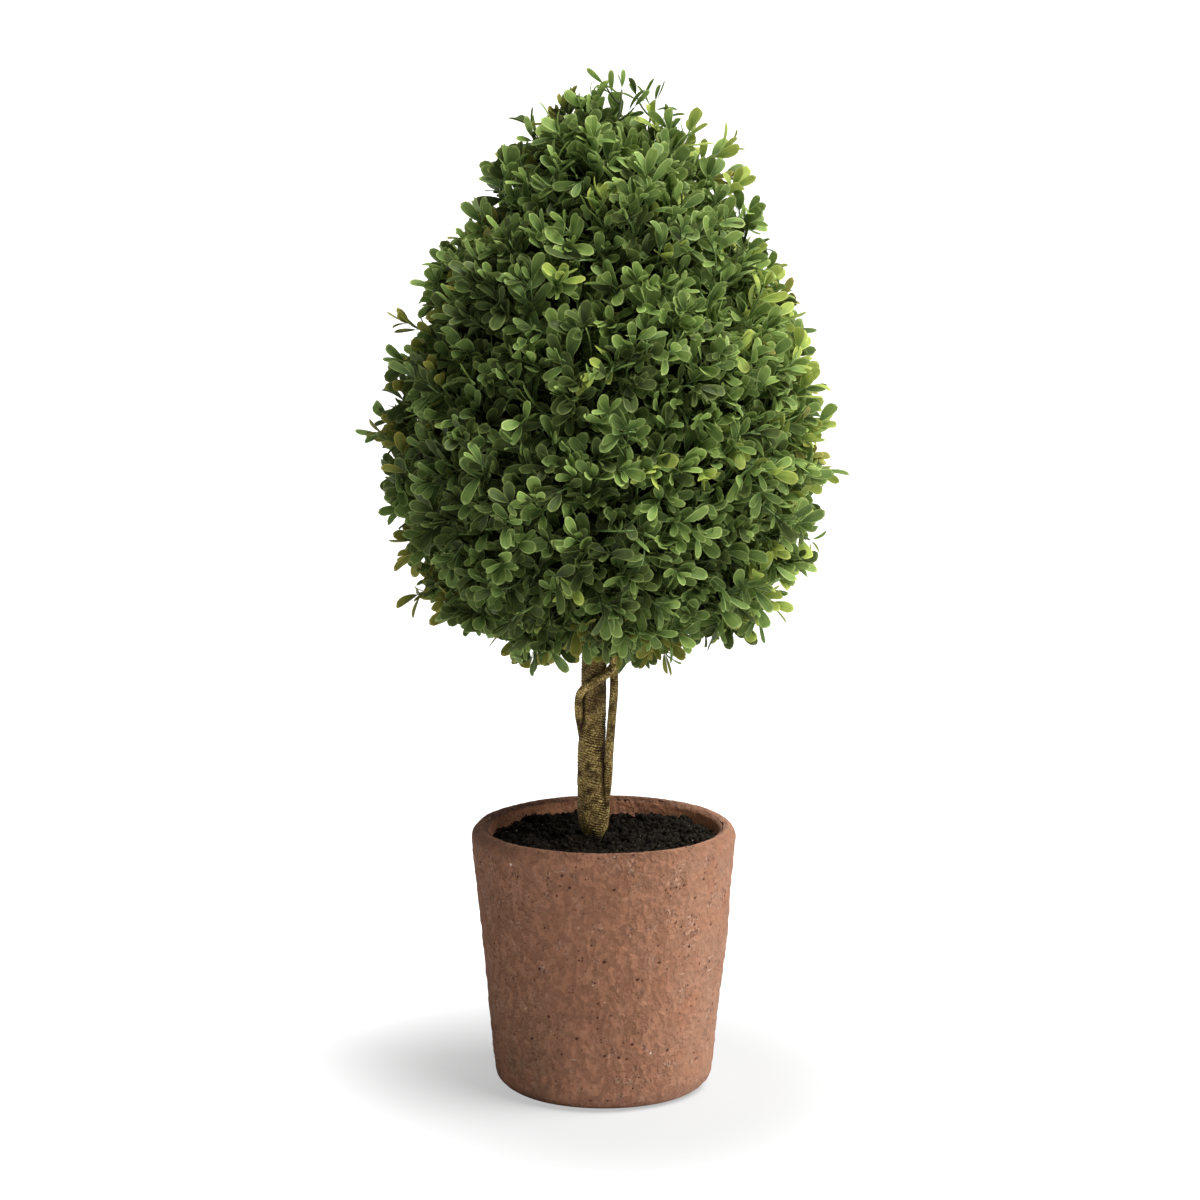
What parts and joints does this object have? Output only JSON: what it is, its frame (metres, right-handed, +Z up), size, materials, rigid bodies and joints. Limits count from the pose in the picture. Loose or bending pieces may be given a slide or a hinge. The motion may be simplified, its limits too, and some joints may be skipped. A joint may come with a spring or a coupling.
{
  "type": "artificial boxwood cone topiary in a round pot",
  "caption": "Clipped egg-shaped cone of small rounded leaves on a wrapped stem with two thin side stems, set in dark soil in a round tapered pot.",
  "frame": {"origin": "centre of the pot's flat underside", "axes": "+Z up along the pot's axis, +X to the right and -Y towards the viewer of the front"},
  "size_m": [0.2726, 0.2579, 0.5937],
  "materials": {
    "pot": "rough unglazed terracotta-coloured cement with small pits",
    "soil": "black-brown crumbs bonded over a light filling",
    "bark": "crinkled olive-brown wrapping with dark blotches",
    "foliage": "matte moulded leaves, mid green",
    "sprig": "matte moulded leaves, yellow-green and olive"
  },
  "bodies": {
    "root": {"pot": "pot", "soil": "soil", "trunk": "bark", "left_stem": "bark", "right_stem": "bark", "foliage_cone": "foliage", "top_sprig_left": "sprig", "top_sprig_middle": "sprig", "top_sprig_right": "sprig", "upper_left_sprig": "sprig", "upper_right_sprig": "sprig", "shoulder_right_sprig": "sprig", "shoulder_left_sprig": "sprig", "left_sprig": "sprig", "right_sprig": "sprig", "right_middle_sprig": "sprig", "lower_right_sprig": "sprig", "bottom_right_sprig": "sprig", "lower_left_sprig": "sprig"}
  },
  "joints": []
}
